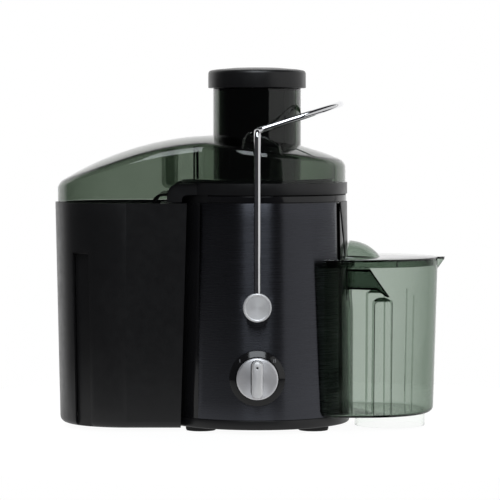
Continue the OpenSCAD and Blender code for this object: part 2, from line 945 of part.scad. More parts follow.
module interlock_cam() {
    color([0.9, 0.9, 0.88]) translate([0, 0, pivot_z]) difference() {
        union() {
            bar_y(7, bush_y[0] - 6.5, bush_y[0] - 2);
            box([-3, 3], [bush_y[0] - 6.5, bush_y[0] - 2], [-12, 0]);
        }
        bar_y(wire_r, 50, 100);
    }
}

// ---------- pusher ----------

module pusher_body() {
    color([0.05, 0.05, 0.055]) difference() {
        union() {
            disc(pusher_r, pusher_z[0], pusher_z[1]);
            for (i = [0:3]) rotate([0, 0, i * 90 + 45])
                box([pusher_r - 0.5, pusher_r + 1.7], [-1.5, 1.5],
                    [pusher_z[0] + 3, tube_top_z - 2]);
        }
        disc(pusher_r - 2.5, pusher_z[0] + 3, pusher_z[1] + 4);
        for (i = [-3:3]) translate([i * 9, 0, 0])
            box([-1.5, 1.5], [-50, 50], [pusher_z[0] - 9, pusher_z[0] + 1.2]);
    }
}

module pusher_cap() {
    r = pusher_cap_r;
    z0 = pusher_cap_z[0];
    z1 = pusher_cap_z[1];
    color([0.05, 0.05, 0.055]) rotate_extrude() polygon(concat(
        [[pusher_r, z0], [r, z0], [r, z1 - 4.6]],
        arc(r - 4, z1 - 4.6, 4, 0, 80, 6),
        [[20, z1], [0, z1], [0, pusher_z[1]], [r - pusher_cap_t - 2.75, pusher_z[1]],
         [r - pusher_cap_t, pusher_z[1] - 3], [r - pusher_cap_t, z0 + pusher_cap_t],
         [pusher_r, z0 + pusher_cap_t]]
    ));
}

// ---------- pulp container ----------

module grip_groove(cx, side, z0, z1, top, depth) {
    r0 = vessel_r(0, z0, z1);
    r1 = vessel_r(top, z0, z1);
    for (sy = [-1, 1]) translate([cx, 0, 0])
        rotate([0, 0, side * sy * grip_angle])
            translate([0, grip_w / 2, 0]) rotate([90, 0, 0]) linear_extrude(grip_w)
                polygon([
                    [side * (r0 - depth), -1], [side * (r0 + 9), -1],
                    [side * (r1 + 9), top + 5], [side * (r1 - depth), top]
                ]);
}

module pulp_container() {
    z0 = container_z0;
    z1 = container_rim_z;
    color([0.06, 0.06, 0.065]) difference() {
        d_solid(container_cx, -52, vessel_section(z0, z1, z0, z1, 0, 6));
        disc(wrap_r, -1, z1 + 1);
        slab_y(-100, 100) polygon([[-70.5, 0], [-40, 0], [-40, 220], [-64, 220]]);
        grip_groove(container_cx, -1, z0, z1, 163, 4);
        difference() {
            d_solid(container_cx, -52,
                vessel_section(z0, z1, z0 + 2.5, z1 + 1, container_t, 4));
            disc(wrap_r + container_t, -1, z1 + 2);
            slab_y(-100, 100) polygon([[-72.7, 0], [-40, 0], [-40, 220], [-66.2, 220]]);
            grip_groove(container_cx, -1, z0, z1, 165.2, 6.2);
        }
    }
}

module container_pads() {
    color([0.03, 0.03, 0.03])
        for (p = [[-105, 22], [-105, -22], [-150, 14], [-150, -14]])
            translate([p[0], p[1], 0]) disc(6, 0, container_z0);
}

// ---------- juice jug ----------

module jug_recess(z_top, depth, w) {
    r0 = vessel_r(jug_z0, jug_z0, jug_rim_z);
    r1 = vessel_r(z_top, jug_z0, jug_rim_z);
    front_and_rear() translate([recess_x - w / 2, 0, 0]) slab_x(0, w) polygon([
        [-r0 + depth, jug_z0 - 1], [-r0 - 5, jug_z0 - 1],
        [-r1 - 5, z_top], [-r1 + depth, z_top]
    ]);
}

module juice_jug() {
    z0 = jug_z0;
    z1 = jug_rim_z;
    color([0.55, 0.64, 0.58, 0.45]) {
        difference() {
            union() {
                d_solid(jug_cx, 50, vessel_section(z0, z1, z0, z1, 0, 6));
                // pouring beak
                translate([beak_x, 0, z1 - beak_h]) cylinder(r1 = 3, r2 = beak_r, h = beak_h);
            }
            disc(wrap_r, -1, z1 + 1);
            box([40, jug_horn_x], [-100, 100], [0, 200]);
            jug_recess(recess_z, recess_depth, recess_w);
            difference() {
                union() {
                    d_solid(jug_cx, 50, vessel_section(z0, z1, z0 + 2.2, z1 + 1, jug_t, 4));
                    translate([beak_x, 0, z1 - beak_h])
                        cylinder(r1 = 1, r2 = beak_r - 1.6, h = beak_h + 0.5);
                }
                disc(wrap_r + jug_t, -1, z1 + 2);
                box([40, jug_horn_x + jug_t], [-100, 100], [0, 200]);
                jug_recess(recess_z + jug_t, recess_depth + jug_t, recess_w + 2 * jug_t);
            }
            // notch for the bowl's spout
            box([70, 100], [-notch_half, notch_half], [notch_z, 200]);
            translate([70, 0, notch_z]) rotate([0, 90, 0]) cylinder(r = notch_half, h = 30);
        }
        // measuring ribs on both walls
        front_and_rear() translate([jug_cx, 0, 0]) rotate([0, 0, -51.5])
            slab_y(-0.5, 0.5) polygon([
                [vessel_foot_r - jug_t - 1.4, z0 + 1], [vessel_foot_r - jug_t + 1, z0 + 7],
                [vessel_r(rib_top_z, z0, z1) - jug_t + 1, rib_top_z],
                [vessel_r(rib_top_z, z0, z1) - jug_t - 1.4, rib_top_z]
            ]);
        translate([125, 0, 0]) ring(33, 30.6, 0, z0 + 1);
    }
}

module jug_lid() {
    z0 = jug_z0;
    z1 = jug_rim_z;
    color([0.55, 0.64, 0.58, 0.45]) {
        difference() {
            union() {
                d_solid(jug_cx, 50,
                    vessel_section(z0, z1, z1 + rest_gap, z1 + jug_lid_t, 0.1, 0));
                translate([beak_x, 0, z1 + rest_gap])
                    cylinder(r = beak_r - 0.1, h = jug_lid_t - rest_gap);
            }
            disc(plate_wrap_r, 0, 200);
            box([40, jug_horn_x], [-100, 100], [0, 200]);
            translate(hood_c) sphere(r = hood_r - 0.5);
        }
        // skirt that plugs into the jug
        difference() {
            d_solid(jug_cx, 50, vessel_section(z0, z1, z1 - 5.5, z1 + 0.5, jug_t + 0.4, 0));
            d_solid(jug_cx, 50, vessel_section(z0, z1, z1 - 6, z1 + 1, jug_t + 1.9, 0));
            disc(wrap_r + jug_t + 0.4, 0, 200);
            box([40, jug_horn_x + jug_t + 0.4], [-100, 100], [0, 200]);
        }
        // hood over the spout
        intersection() {
            difference() {
                translate(hood_c) sphere(r = hood_r);
                translate(hood_c) sphere(r = hood_r - hood_t);
                disc(hood_clip_r, 100, 250);
            }
            box([80, 130], [-60, 60], [z1 + rest_gap, 200]);
        }
    }
}

// ---------- drawing ----------

base_plate();
rubber_feet();
base_screws();
housing_shell();
front_panel();
motor_deck();
deck_screws();
shaft_seal();
motor_mounts();
upper_bracket();
upper_bearing();
stator_core();
field_coils();
lower_bracket();
lower_bearing();
brush_holders();
carbon_brushes();
motor_bolts();
terminal_block();
suppressor();
cord_gland();
rotary_switch();
interlock_switch();
knob_bezel();
bail_bushes();
juice_bowl();
juice_spout();
lid();
motor_shaft();
armature_core();
armature_windings();
commutator();
cooling_fan();
drive_coupling();
basket_hub();
filter_basket();
basket_rim();
grater_disc();
disc_nut();
bail_wire();
front_pivot_cap();
rear_pivot_cap();
bail_clips();
interlock_cam();
control_knob();
knob_spindle();
pusher_body();
pusher_cap();
pulp_container();
container_pads();
juice_jug();
jug_lid();
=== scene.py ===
"""Looks of the centrifugal juicer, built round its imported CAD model.

Sizes in the functions below are millimetres, and finish_piece() turns them into metres.
"""

import json
import math

import bmesh
import bpy
import numpy as np
from mathutils import Matrix, Vector
from mathutils.geometry import delaunay_2d_cdt


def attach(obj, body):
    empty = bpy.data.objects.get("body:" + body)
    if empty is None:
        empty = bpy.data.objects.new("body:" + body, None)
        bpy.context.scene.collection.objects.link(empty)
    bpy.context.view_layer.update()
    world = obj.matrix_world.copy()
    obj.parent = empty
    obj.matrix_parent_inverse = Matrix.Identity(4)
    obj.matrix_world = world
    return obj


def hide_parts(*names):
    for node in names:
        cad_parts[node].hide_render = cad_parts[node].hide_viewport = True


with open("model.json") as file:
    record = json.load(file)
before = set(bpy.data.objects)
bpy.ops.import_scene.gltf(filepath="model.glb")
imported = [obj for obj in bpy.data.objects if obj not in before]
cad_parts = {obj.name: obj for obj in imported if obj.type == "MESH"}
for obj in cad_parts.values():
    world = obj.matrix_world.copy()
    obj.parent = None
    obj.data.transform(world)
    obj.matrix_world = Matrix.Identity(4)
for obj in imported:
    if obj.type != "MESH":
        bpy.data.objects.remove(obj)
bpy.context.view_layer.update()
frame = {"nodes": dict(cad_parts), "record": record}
NODES = frame["nodes"]
MM = 0.001
SHARP_EDGE = math.radians(32)


# ---------- materials ----------

class Shader:
    """A new material's node tree, with short calls for what most materials need."""

    def __init__(self, name):
        self.material = bpy.data.materials.new(name)
        self.material.use_nodes = True
        self.tree = self.material.node_tree
        self.main = self.tree.nodes["Principled BSDF"]
        self.place = self.node("ShaderNodeTexCoord").outputs["Object"]

    def node(self, kind, **values):
        made = self.tree.nodes.new(kind)
        for key, value in values.items():
            setattr(made, key, value)
        return made

    def link(self, source, target):
        self.tree.links.new(source, target)

    def set(self, **values):
        for key, value in values.items():
            self.main.inputs[key.replace("_", " ")].default_value = value

    def stretched(self, *scale):
        """The object's own coordinates, scaled along X, Y and Z."""
        mapping = self.node("ShaderNodeMapping")
        mapping.inputs["Scale"].default_value = scale
        self.link(self.place, mapping.inputs["Vector"])
        return mapping.outputs["Vector"]

    def noise(self, grain_mm, detail, vector=None):
        """Noise whose features are about grain_mm across."""
        made = self.node("ShaderNodeTexNoise")
        made.inputs["Scale"].default_value = 1 / (grain_mm * MM)
        made.inputs["Detail"].default_value = detail
        self.link(vector or self.place, made.inputs["Vector"])
        return made.outputs["Fac"]

    def ramp(self, source, low, high, start=0.3, end=0.7):
        """Two colours or two values that source runs between."""
        made = self.node("ShaderNodeValToRGB")
        for stop, at, value in zip(made.color_ramp.elements, (start, end), (low, high)):
            stop.position = at
            stop.color = (*value, 1) if isinstance(value, tuple) else (value, value, value, 1)
        self.link(source, made.inputs["Fac"])
        return made.outputs["Color"]

    def colour(self, source, low, high, **stops):
        self.link(self.ramp(source, low, high, **stops), self.main.inputs["Base Color"])

    def rough(self, source, low, high):
        self.link(self.ramp(source, low, high), self.main.inputs["Roughness"])

    def bump(self, source, depth_mm, strength=1.0):
        made = self.node("ShaderNodeBump")
        made.inputs["Strength"].default_value = strength
        made.inputs["Distance"].default_value = depth_mm * MM
        self.link(source, made.inputs["Height"])
        self.link(made.outputs["Normal"], self.main.inputs["Normal"])

    def lined_round(self, axis, amount):
        """Metal with fine lines round an axis, which smear a reflection across them."""
        self.set(Metallic=1.0, Anisotropic=amount, Anisotropic_Rotation=0.25)
        tangent = self.node("ShaderNodeTangent", direction_type="RADIAL", axis=axis)
        self.link(tangent.outputs["Tangent"], self.main.inputs["Tangent"])


def moulded(name, low, high, rough, grain_mm, depth_mm):
    """Moulded plastic: spark-eroded grain, slow changes of tone and a few smoother patches."""
    s = Shader(name)
    s.colour(s.noise(25, 2), low, high)
    s.rough(s.noise(7.5, 4), *rough)
    s.bump(s.noise(grain_mm, 4), depth_mm)
    return s.material


def polished(name, low, high, rough):
    """Glossy plastic with faint flow marks and fine polishing haze."""
    s = Shader(name)
    s.colour(s.noise(40, 2), low, high)
    s.rough(s.noise(6, 5), *rough)
    s.bump(s.noise(30, 2), 0.05, 0.4)
    return s.material


def smoked(name, wall_mm, through, ior=1.5):
    """Clear plastic, tinted all through: a wall of wall_mm lets `through` of each colour pass."""
    s = Shader(name)
    s.colour(s.noise(45, 2), (0.97, 0.98, 0.97), (1.0, 1.0, 1.0))
    s.rough(s.noise(8, 4), 0.01, 0.03)
    s.set(Transmission_Weight=1.0, IOR=ior)
    s.bump(s.noise(60, 2), 0.03, 0.3)
    loss = [-math.log(share) / (wall_mm * MM) for share in through]
    tint = s.node("ShaderNodeVolumeAbsorption")
    tint.inputs["Color"].default_value = (*(1 - x / max(loss) for x in loss), 1)
    tint.inputs["Density"].default_value = max(loss)
    s.link(tint.outputs["Volume"], s.tree.nodes["Material Output"].inputs["Volume"])
    return s.material


def brushed_sheet(name):
    """Dark sheet brushed round the housing, whose fine lines smear a reflection up and down."""
    s = Shader(name)
    lines = s.noise(2.2, 3, s.stretched(0.06, 0.06, 14))
    s.colour(lines, (0.064, 0.066, 0.075), (0.086, 0.089, 0.102))
    s.rough(lines, 0.25, 0.29)
    s.lined_round("Z", 1.0)
    s.bump(lines, 0.005)
    return s.material


def plated(name, low, high, rough, grain_mm=3.0):
    """Bright plated or drawn metal with a trace of uneven polish."""
    s = Shader(name)
    s.colour(s.noise(12, 3), low, high)
    s.rough(s.noise(grain_mm, 5), *rough)
    s.set(Metallic=1.0)
    s.bump(s.noise(9, 2), 0.01, 0.5)
    return s.material


def turned(name, low, high, rough, sheen):
    """Metallised plastic faced on a lathe, with the sheen of fine rings round the Y axis."""
    s = Shader(name)
    s.colour(s.noise(9, 2), low, high)
    s.rough(s.noise(5, 3), *rough)
    s.lined_round("Y", sheen)
    s.bump(s.noise(14, 2), 0.02, 0.4)
    return s.material


def etched(name, low, high, pitch_mm):
    """Sheet steel with rows of fine etched holes."""
    s = Shader(name)
    cells = s.node("ShaderNodeTexVoronoi")
    cells.inputs["Scale"].default_value = 1 / (pitch_mm * MM)
    cells.inputs["Randomness"].default_value = 0.15
    s.link(s.place, cells.inputs["Vector"])
    s.colour(cells.outputs["Distance"], low, high, start=0.24, end=0.32)
    s.rough(s.noise(3, 4), 0.2, 0.3)
    s.set(Metallic=1.0)
    s.bump(s.ramp(cells.outputs["Distance"], 0.0, 1.0, start=0.22, end=0.36), 0.15)
    return s.material


def stacked(name, low, high, rough):
    """Electrical sheet, stacked along Z."""
    sheet_mm = 0.5
    s = Shader(name)
    bands = s.node("ShaderNodeTexWave", bands_direction="Z")
    bands.inputs["Scale"].default_value = 0.05 / (sheet_mm * MM)
    s.link(s.place, bands.inputs["Vector"])
    s.colour(bands.outputs["Fac"], low, high)
    s.rough(s.noise(4, 4), *rough)
    s.set(Metallic=0.9)
    s.bump(bands.outputs["Fac"], 0.06)
    return s.material


def wound(name, low, high):
    """Enamelled wire laid in turns."""
    s = Shader(name)
    turns = s.noise(1.2, 3, s.stretched(0.3, 0.3, 3))
    s.colour(turns, low, high)
    s.rough(turns, 0.25, 0.4)
    s.set(Metallic=0.85, Coat_Weight=0.5)
    s.bump(turns, 0.25)
    return s.material


def painted_shade(name):
    """Painted shade: near-black with no reflection, for pieces that stand in for the shadow deep in
    a groove or gap.
    """
    s = Shader(name)
    s.colour(s.noise(5, 2), (0.001, 0.001, 0.001), (0.002, 0.002, 0.002))
    s.set(Roughness=0.9, Specular_IOR_Level=0.0)
    return s.material


M = {
    "black_plastic": moulded("satin_black", (0.004, 0.004, 0.0045), (0.0065, 0.0065, 0.007),
                             (0.32, 0.40), 0.5, 0.015),
    "gloss_black": polished("gloss_black", (0.003, 0.003, 0.0035), (0.005, 0.005, 0.0055),
                            (0.10, 0.16)),
    "brushed_panel": brushed_sheet("brushed_panel"),
    "smoked_clear": smoked("smoked_clear", 2.5, (0.34, 0.385, 0.335)),
    "inner_clear": smoked("inner_clear", 2.0, (0.93, 0.95, 0.93)),
    "jug_clear": smoked("jug_clear", 2.0, (0.60, 0.645, 0.605), ior=1.17),
    "foot_clear": smoked("foot_clear", 2.0, (0.97, 0.98, 0.97), ior=1.12),
    "cover_clear": smoked("cover_clear", 2.0, (0.53, 0.585, 0.535)),
    "spout_clear": smoked("spout_clear", 2.5, (0.22, 0.27, 0.23)),
    "cap_silver": turned("cap_silver", (0.94, 0.94, 0.95), (1.0, 1.0, 1.0), (0.54, 0.60), 0.2),
    # painted shade for grooves and gaps, not the colour of any part
    "painted_shade_black": painted_shade("painted_shade_black"),
    "print_grey": moulded("print_grey", (0.20, 0.20, 0.21), (0.24, 0.24, 0.25), (0.5, 0.6),
                          0.4, 0.005),
    "chrome_wire": plated("chrome", (0.78, 0.78, 0.80), (0.86, 0.86, 0.87), (0.05, 0.09)),
    "silver_plastic": turned("silver", (0.92, 0.92, 0.94), (0.98, 0.98, 1.0), (0.48, 0.54), 0.6),
    "bezel_silver": polished("bezel", (0.004, 0.004, 0.0045), (0.007, 0.007, 0.0075),
                             (0.08, 0.13)),
    "rubber": moulded("rubber", (0.012, 0.012, 0.012), (0.022, 0.022, 0.022),
                      (0.75, 0.9), 1.0, 0.06),
    "steel": plated("steel", (0.48, 0.48, 0.49), (0.60, 0.60, 0.61), (0.22, 0.34)),
    "sieve_steel": etched("sieve_steel", (0.03, 0.03, 0.03), (0.62, 0.62, 0.63), 1.3),
    "laminations": stacked("laminations", (0.16, 0.16, 0.17), (0.30, 0.30, 0.32), (0.35, 0.5)),
    "copper": wound("copper_wire", (0.42, 0.14, 0.05), (0.68, 0.27, 0.11)),
    "bronze": plated("bronze", (0.42, 0.25, 0.11), (0.55, 0.35, 0.17), (0.35, 0.5)),
    "carbon": moulded("carbon", (0.012, 0.012, 0.013), (0.03, 0.03, 0.032), (0.5, 0.7), 0.6, 0.03),
    "zinc_bracket": plated("zinc", (0.42, 0.43, 0.45), (0.60, 0.61, 0.63), (0.35, 0.5), 5),
    "grey_plastic": moulded("grey_plastic", (0.035, 0.035, 0.037), (0.05, 0.05, 0.053),
                            (0.45, 0.55), 0.6, 0.03),
    "white_plastic": moulded("white_plastic", (0.62, 0.62, 0.58), (0.72, 0.72, 0.68),
                             (0.4, 0.5), 0.8, 0.02),
    "yellow_film": polished("yellow_film", (0.60, 0.42, 0.05), (0.70, 0.50, 0.09), (0.25, 0.35)),
}


# ---------- shapes, in millimetres ----------

def place(name, data):
    """A new object in the scene."""
    made = bpy.data.objects.new(name, data)
    bpy.context.scene.collection.objects.link(made)
    return made


def arc(cx, cy, r, start, end, n):
    """n + 1 points from one angle to another, in degrees."""
    angles = np.radians(np.linspace(start, end, n + 1))
    return [(cx + r * math.cos(a), cy + r * math.sin(a)) for a in angles]


def rounded(*corners, n=6):
    """A closed outline with corners (x, y, radius), each rounded off by its radius."""
    outline = []
    for i, (x, y, radius) in enumerate(corners):
        here = Vector((x, y))
        back = Vector(corners[i - 1][:2]) - here
        ahead = Vector(corners[(i + 1) % len(corners)][:2]) - here
        half = back.angle(ahead) / 2
        reach = min(radius / math.tan(half), 0.49 * back.length, 0.49 * ahead.length)
        if reach < 1e-6:
            outline.append((x, y))
            continue
        r = reach * math.tan(half)
        centre = here + (back.normalized() + ahead.normalized()).normalized() * (r / math.sin(half))
        first, last = here + back.normalized() * reach, here + ahead.normalized() * reach
        a = math.atan2(first.y - centre.y, first.x - centre.x)
        b = math.atan2(last.y - centre.y, last.x - centre.x)
        turn = (b - a + math.pi) % (2 * math.pi) - math.pi
        for k in range(n + 1):
            at = a + turn * k / n
            outline.append((centre.x + r * math.cos(at), centre.y + r * math.sin(at)))
    return outline


def inward(outline, distance):
    """A smooth outline moved inwards, point by point."""
    p = np.array(outline, float)
    along = np.roll(p, -1, 0) - np.roll(p, 1, 0)
    along /= np.linalg.norm(along, axis=1)[:, None]
    area = 0.5 * np.sum(p[:, 0] * np.roll(p[:, 1], -1) - p[:, 1] * np.roll(p[:, 0], -1))
    normal = np.stack([-along[:, 1], along[:, 0]], 1) * np.sign(area)
    return [tuple(q) for q in p + normal * distance]


def solid(name, verts, faces):
    """A closed mesh object with its doubles merged and its normals outwards."""
    mesh = bpy.data.meshes.new(name)
    mesh.from_pydata([tuple(v) for v in verts], [], faces)
    work = bmesh.new()
    work.from_mesh(mesh)
    bmesh.ops.remove_doubles(work, verts=work.verts, dist=1e-3)
    bmesh.ops.dissolve_degenerate(work, edges=work.edges, dist=1e-4)
    bmesh.ops.recalc_face_normals(work, faces=work.faces)
    work.to_mesh(mesh)
    work.free()
    return place(name, mesh)


def loft(name, rings):
    """A solid through closed rings of equally many points, with a flat cap at each end."""
    n = len(rings[0])
    verts = [p for ring in rings for p in ring]
    faces = [tuple(range(n)), tuple(range(len(verts) - n, len(verts)))[::-1]]
    for level in range(len(rings) - 1):
        for i in range(n):
            a, b = level * n + i, level * n + (i + 1) % n
            faces.append((a, a + n, b + n, b))
    return solid(name, verts, faces)


def lathe(name, outline, centre=(0, 0, 0), axis="Z", steps=192):
    """A closed outline of (radius, height) turned round an axis through centre."""
    verts, faces, n = [], [], len(outline)
    for turn in range(steps):
        a = 2 * math.pi * turn / steps
        for r, h in outline:
            p = (r * math.cos(a), r * math.sin(a), h)
            if axis == "Y":
                p = (p[0], p[2], p[1])
            verts.append(tuple(c + d for c, d in zip(p, centre)))
    for turn in range(steps):
        here, there = turn * n, (turn + 1) % steps * n
        for i in range(n):
            j = (i + 1) % n
            faces.append((here + i, here + j, there + j, there + i))
    return solid(name, verts, faces)


def slab(name, outline, low, high, edge=0.0):
    """An outline in X and Z, extruded along Y. edge rounds the two flat faces' edges."""
    cuts = [(low, 0), (high, 0)]
    if edge:
        turns = [math.radians(a) for a in (0, 30, 60, 90)]
        front = [(low + edge * (1 - math.sin(a)), edge * (1 - math.cos(a))) for a in turns]
        rear = [(high - edge * (1 - math.sin(a)), edge * (1 - math.cos(a))) for a in turns]
        cuts = front[::-1] + rear
    rings = []
    for y, inset in cuts:
        ring = inward(outline, inset) if inset else outline
        rings.append([(x, y, z) for x, z in ring])
    return loft(name, rings)


def combine(base, operation, *tools):
    """base with each tool cut away, joined on or kept only inside; the tools are used up."""
    for tool in tools:
        step = base.modifiers.new("step", "BOOLEAN")
        step.operation, step.solver, step.object = operation, "MANIFOLD", tool
        bpy.context.view_layer.update()
        graph = bpy.context.evaluated_depsgraph_get()
        made = bpy.data.meshes.new_from_object(base.evaluated_get(graph))
        base.modifiers.clear()
        old, base.data = base.data, made
        bpy.data.meshes.remove(old)
        bpy.data.objects.remove(tool)
    return base


def cut(base, *tools):
    return combine(base, "DIFFERENCE", *tools)


def join(base, *tools):
    return combine(base, "UNION", *tools)


def within(base, *tools):
    return combine(base, "INTERSECT", *tools)


def mirrored(made, name):
    """A copy on the other side of the plane Y = 0."""
    other = place(name, made.data.copy())
    other.data.transform(Matrix.Scale(-1, 4, (0, 1, 0)))
    other.data.flip_normals()
    return other


def finish_piece(made, name, slot, body, replaces=(), material=None):
    """Brings a piece from millimetres to metres, dresses it and puts it on its body."""
    made.name = made.data.name = name
    if made.type == "MESH":
        made.data.transform(Matrix.Scale(MM, 4))
        made.data.shade_smooth()
        made.data.set_sharp_from_angle(angle=SHARP_EDGE)
    made.data.materials.clear()
    made.data.materials.append(material or M[slot])
    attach(made, body)
    if replaces:
        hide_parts(*replaces)


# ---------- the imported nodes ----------

def dress_nodes():
    """Every CAD node gets the material of its slot in the record."""
    for row in frame["record"]["subparts"]:
        node = NODES[row["node"]]
        node.data.materials.clear()
        node.data.materials.append(M[row["material_slot"]])
    NODES["juice_spout"].data.materials[0] = M["spout_clear"]


dress_nodes()


# ---------- bail ----------

WIRE_R = 3
BAIL_ARM_Y = 95
BAIL_BEND = 7
BAIL_LOOP = 50
PIVOT_Z = 116.6
SHOULDER_Z = 276
# the loop's slope, and how far along it the loop's round part starts
LOOP_TILT = math.radians(18)
LOOP_REACH = 32.5
PIVOT_END_Y = -72


def bail_path():
    """The front half of the wire's centreline, from its pivot end to the loop's middle."""
    bend = BAIL_ARM_Y - BAIL_BEND
    points = [(0, PIVOT_END_Y, PIVOT_Z)]
    points += [(0, y, z) for y, z in arc(-bend, PIVOT_Z + BAIL_BEND, BAIL_BEND, 270, 180, 10)]
    points += [(0, y, z) for y, z in arc(-bend, SHOULDER_Z - BAIL_BEND, BAIL_BEND, 180, 90, 10)]
    flat = arc(BAIL_BEND, -BAIL_LOOP - BAIL_BEND, BAIL_BEND, 180, 90, 10)
    flat += arc(LOOP_REACH, 0, BAIL_LOOP, -90, 0, 40)
    for u, y in flat:
        points.append((u * math.cos(LOOP_TILT), y, SHOULDER_Z + u * math.sin(LOOP_TILT)))
    return points


def add_bail():
    """The chromed wire, drawn along its centreline as one curve."""
    half = bail_path()
    path = half + [(x, -y, z) for x, y, z in half[-2::-1]]
    curve = bpy.data.curves.new("bail", "CURVE")
    curve.dimensions = "3D"
    curve.bevel_depth = WIRE_R * MM
    curve.bevel_resolution = 7
    curve.use_fill_caps = True
    spline = curve.splines.new("POLY")
    spline.points.add(len(path) - 1)
    for point, at in zip(spline.points, path):
        point.co = (*(c * MM for c in at), 1)
    spline.use_smooth = True
    finish_piece(place("bail", curve), "bail_wire_drawn", "chrome_wire", "bail", ["bail_wire"])


def add_pivot_caps():
    """Turned caps with a raised rim round a flat face."""
    back, rim, radius = -88.6, -99.6, 12.9
    outline = rounded((0, back, 0), (radius, back, 0.4), (radius, rim, 1.0), (11.2, rim, 0.5),
                      (10.9, rim + 0.6, 0.3), (0, rim + 0.8, 0))
    front = lathe("cap", outline, (0, 0, PIVOT_Z), "Y")
    rear = mirrored(front, "cap_rear")
    for made, side in ((front, "front"), (rear, "rear")):
        node = f"{side}_pivot_cap"
        finish_piece(made, f"{node}_turned", "silver_plastic", "bail", [node], M["cap_silver"])


# ---------- housing ----------

HOUSING_R = 87.0
HOUSING_DRAFT = 3.0
HOUSING_TOP = 210.6


def add_seam_shade_strip():
    """A near-black strip just proud of the shell along the panel's right edge: painted shade for
    the groove between the panel and the glossy shell.
    """
    bottom, top, proud, depth = 14, 209.5, 0.12, 1.2
    left, right_foot, right_top = -29.0, -24.06, -24.5
    rings = []
    for z in np.linspace(bottom, top, 28):
        r = HOUSING_R - HOUSING_DRAFT * z / HOUSING_TOP + proud
        right = np.interp(z, (bottom, 210), (right_foot, right_top))
        ring = [(r + out, math.radians(a)) for out, a in
                ((-depth, left), (0, left), (0.1, left + 2), (0, right), (-depth, right))]
        rings.append([(q * math.cos(a), q * math.sin(a), z) for q, a in ring])
    # painted shade: the near-black strip darkens the groove by its colour
    finish_piece(loft("seam", rings), "panel_seam_shade", "rubber", "base", material=M["painted_shade_black"])


def add_collar_band():
    """Glossy band under the bowl's flange, with a near-black ring above it as painted shade in the
    groove.
    """
    inner, band_r, groove_r = 82.2, 83.7, 83.35
    band = rounded((inner, 211.2, 0), (band_r, 211.2, 0.2), (band_r, 216.7, 0.5), (inner, 217.1, 0))
    # painted shade: a near-black ring fills the groove under the flange
    groove = [(inner, 217.0), (groove_r, 217.0), (groove_r, 217.9), (inner, 217.9)]
    chute = [(-100, 200), (-45, 200), (-45, 230), (-100, 230)]
    for name, outline, material in (("bowl_collar_band", band, "gloss_black"),
                                    ("bowl_collar_groove_shade", groove, "painted_shade_black")):
        made = cut(lathe("ring", outline), slab("chute", chute, -100, 100))
        finish_piece(made, name, "black_plastic", "base", material=M[material])


# each node's rounding in millimetres
EDGED = {"pulp_container": 1.0, "juice_bowl": 0.8, "housing_shell": 0.6, "base_plate": 0.8,
         "front_panel": 0.3, "juice_spout": 0.6}


def soften_edges():
    """Small rounds on the moulded nodes' outer edges, so that they catch light."""
    for node, width in EDGED.items():
        piece = NODES[node]
        weld = piece.modifiers.new("weld", "WELD")
        weld.merge_threshold = 0.02 * MM
        bevel = piece.modifiers.new("edge", "BEVEL")
        bevel.width, bevel.segments, bevel.limit_method = width * MM, 3, "ANGLE"
        bevel.angle_limit = math.radians(40)
        bevel.miter_outer = "MITER_ARC"


# ---------- knob ----------

KNOB_Z = 51.7
KNOB_R = 18.9
DOT_Z = KNOB_Z + 11
# the bezel's outer edge, and the ridge that its face rises to
BEZEL_R = 25.35
BEZEL_EDGE = -88.6
RIDGE_R = 19.7
RIDGE = -91.2


def add_knob():
    """Turned disc with a tapered grip bar across it, a near-black plate as painted shadow round the
    bar and a dot on it.
    """
    face, back, top = -97.7, -90.6, -106
    disc = lathe("disc", rounded((0, back, 0), (KNOB_R, back, 0.3), (KNOB_R, face, 1.6),
                                 (KNOB_R - 3, face, 0), (0, face + 0.6, 0)), (0, 0, KNOB_Z), "Y")
    rings = []
    for y, half_w, half_l in ((face + 2, 5.4, 17.3), (top + 1.2, 4.3, 16.6),
                              (top + 0.35, 3.9, 16.2), (top, 3.2, 15.5)):
        end = half_w * 0.98
        bar = rounded((-half_w, -half_l, end), (half_w, -half_l, end),
                      (half_w, half_l, end), (-half_w, half_l, end), n=8)
        rings.append([(x, y, z + KNOB_Z) for x, z in bar])
    grip = loft("bar", rings)
    dimple = lathe("dimple", rounded((0, top - 1, 0), (1.5, top - 1, 0), (1.5, top + 0.5, 0.3),
                                     (0, top + 0.6, 0)), (0, 0, DOT_Z), "Y", 48)
    finish_piece(disc, "control_knob_turned", "silver_plastic", "knob", ["control_knob"])
    finish_piece(cut(grip, dimple), "knob_grip_bar", "silver_plastic", "knob",
                 material=M["cap_silver"])
    # painted shadow: a near-black plate under the bar, set to the left and up so that its dark rim
    # shows mostly on the bar's left and top, where the shade falls
    gap = rounded((-5.9, -16.4, 5.5), (5.3, -16.4, 5.2), (5.3, 17.5, 5.2), (-5.9, 17.5, 5.5), n=8)
    gap = loft("gap", [[(x, y, z + KNOB_Z) for x, z in gap] for y in (face + 1.2, face - 0.05)])
    finish_piece(gap, "knob_grip_bar_shadow", "silver_plastic", "knob", material=M["painted_shade_black"])
    dot = lathe("dot", rounded((0, top + 0.55, 0), (0.9, top + 0.55, 0), (0.9, top + 0.35, 0.1),
                               (0, top + 0.3, 0)), (0, 0, DOT_Z), "Y", 48)
    finish_piece(dot, "knob_dot", "bezel_silver", "knob")


